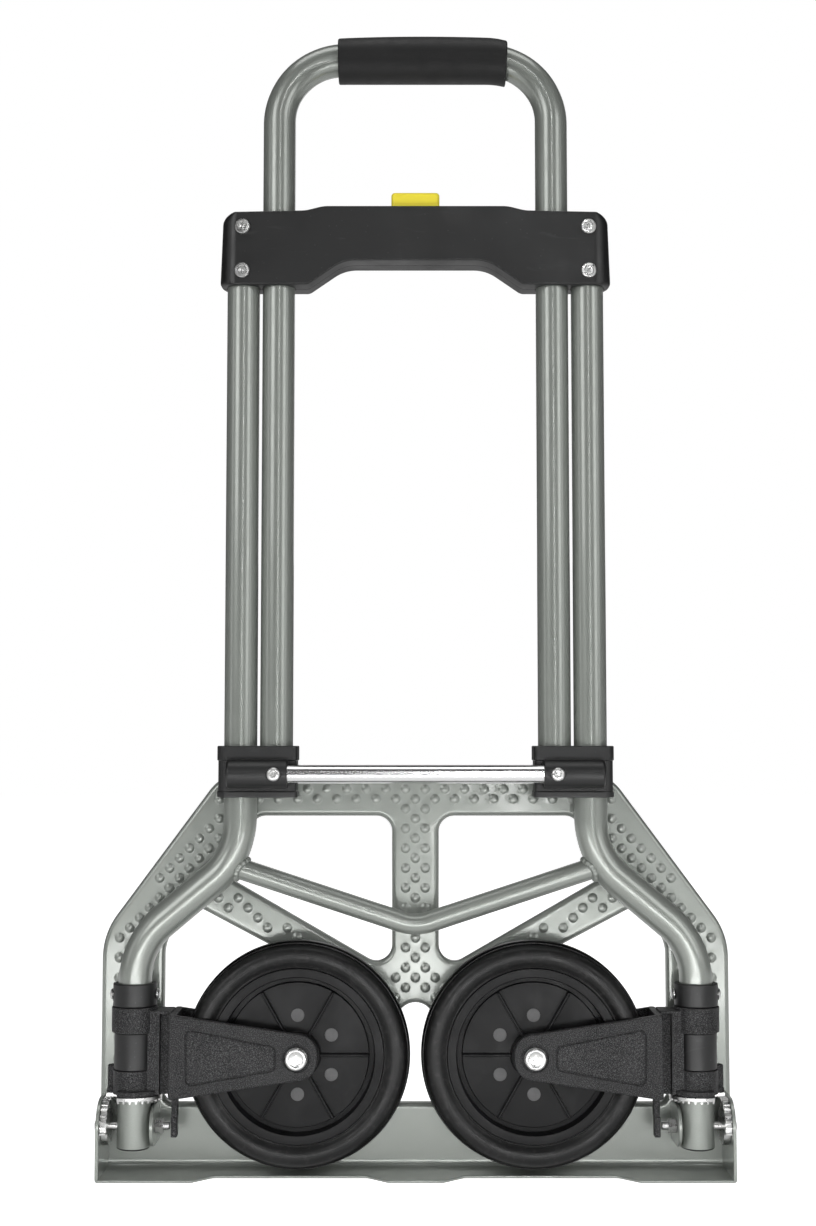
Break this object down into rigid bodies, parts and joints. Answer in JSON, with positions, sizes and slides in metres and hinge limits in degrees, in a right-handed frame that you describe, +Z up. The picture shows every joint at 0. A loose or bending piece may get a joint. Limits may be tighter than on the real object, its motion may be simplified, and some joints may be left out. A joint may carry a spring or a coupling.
{
  "type": "folding hand truck",
  "caption": "Folding hand truck with a telescopic tube handle, a stamped fold-up toe plate and wheels on swinging arms geared to the plate.",
  "frame": {"origin": "on the ground under the middle of the folded truck, in the plane of the frame tubes", "axes": "+Z up along the tubes, +X the truck's right seen from behind (the wheel side), +Y towards the load, the side of the folded toe plate"},
  "size_m": [0.48, 0.066, 0.8705],
  "materials": {
    "painted_steel": "silver-grey metallic powder coat, satin",
    "head_plastic": "satin black moulding with faint scuffs",
    "arm_plastic": "black moulding with a fine leather-like grain",
    "grip_foam": "closed-cell foam, matt",
    "tyre_rubber": "moulded rubber, matt with a polished shoulder",
    "zinc": "bright zinc plating",
    "bright_rod": "drawn and polished",
    "spring_steel": "plain steel",
    "button_plastic": "yellow moulding, satin"
  },
  "bodies": {
    "frame": {"frame_tube_left": "painted_steel", "frame_tube_right": "painted_steel", "cross_tube": "painted_steel", "head_rear_shell": "head_plastic", "head_front_shell": "head_plastic", "head_rivet_lower_left": "zinc", "head_rivet_lower_right": "zinc", "head_rivet_upper_left": "zinc", "head_rivet_upper_right": "zinc", "tube_end_cap_left": "arm_plastic", "tube_end_cap_right": "arm_plastic", "pivot_collar_left": "arm_plastic", "pivot_collar_right": "arm_plastic", "collar_rivet_left": "zinc", "collar_rivet_right": "zinc", "pivot_sleeve_left": "arm_plastic", "pivot_sleeve_right": "arm_plastic", "hinge_bolt_left": "zinc", "hinge_bolt_right": "zinc", "hinge_nut_left": "zinc", "hinge_nut_right": "zinc", "button_spring": "spring_steel"},
    "handle": {"handle_tube": "painted_steel", "handle_grip": "grip_foam", "slider_bracket_left": "head_plastic", "slider_bracket_right": "head_plastic", "cross_rod": "bright_rod", "slider_rivet_left": "zinc", "slider_rivet_right": "zinc"},
    "release_button": {"release_button": "button_plastic"},
    "lock_bar_left": {"lock_bar_left": "spring_steel"},
    "lock_bar_right": {"lock_bar_right": "spring_steel"},
    "toe_plate": {"toe_plate": "painted_steel", "sector_gear_left": "zinc", "sector_gear_right": "zinc"},
    "wheel_arm_left": {"wheel_arm_left": "arm_plastic", "arm_gear_left": "zinc", "axle_bolt_left": "zinc", "axle_washer_left": "zinc", "axle_nut_left": "zinc"},
    "wheel_left": {"tyre_left": "tyre_rubber", "wheel_rim_left": "arm_plastic", "axle_bush_left": "arm_plastic"},
    "wheel_arm_right": {"wheel_arm_right": "arm_plastic", "arm_gear_right": "zinc", "axle_bolt_right": "zinc", "axle_washer_right": "zinc", "axle_nut_right": "zinc"},
    "wheel_right": {"tyre_right": "tyre_rubber", "wheel_rim_right": "arm_plastic", "axle_bush_right": "arm_plastic"}
  },
  "joints": [
    {"name": "handle_slide", "type": "slide", "parent": "frame", "child": "handle", "axis": [0, 0, 1], "range_m": [0, 0.345]},
    {"name": "button_press", "type": "slide", "parent": "frame", "child": "release_button", "axis": [0, 0, -1], "range_m": [0, 0.006], "stiffness_N_per_m": 400, "springref_m": -0.002, "deforming": ["button_spring"]},
    {"name": "lock_bar_left_draw", "type": "slide", "parent": "frame", "child": "lock_bar_left", "axis": [1, 0, 0], "range_m": [0, 0.006]},
    {"name": "lock_bar_right_draw", "type": "slide", "parent": "frame", "child": "lock_bar_right", "axis": [-1, 0, 0], "range_m": [0, 0.006]},
    {"name": "toe_plate_fold", "type": "hinge", "parent": "frame", "child": "toe_plate", "pos_m": [0, 0, 0.037], "axis": [-1, 0, 0], "range_deg": [0, 90]},
    {"name": "wheel_arm_left_swing", "type": "hinge", "parent": "frame", "child": "wheel_arm_left", "pos_m": [-0.2103, 0, 0.09], "axis": [0, 0, -1], "range_deg": [0, 90]},
    {"name": "wheel_left_spin", "type": "hinge", "parent": "wheel_arm_left", "child": "wheel_left", "pos_m": [-0.088, 0, 0.09], "axis": [0, 1, 0], "continuous": true},
    {"name": "wheel_arm_right_swing", "type": "hinge", "parent": "frame", "child": "wheel_arm_right", "pos_m": [0.2103, 0, 0.09], "axis": [0, 0, 1], "range_deg": [0, 90]},
    {"name": "wheel_right_spin", "type": "hinge", "parent": "wheel_arm_right", "child": "wheel_right", "pos_m": [0.088, 0, 0.09], "axis": [0, 1, 0], "continuous": true}
  ],
  "couplings": [
    {"joint": "lock_bar_left_draw", "follows": "button_press", "ratio": 1},
    {"joint": "lock_bar_right_draw", "follows": "button_press", "ratio": 1},
    {"joint": "wheel_arm_left_swing", "follows": "toe_plate_fold", "ratio": 1},
    {"joint": "wheel_arm_right_swing", "follows": "toe_plate_fold", "ratio": 1}
  ]
}
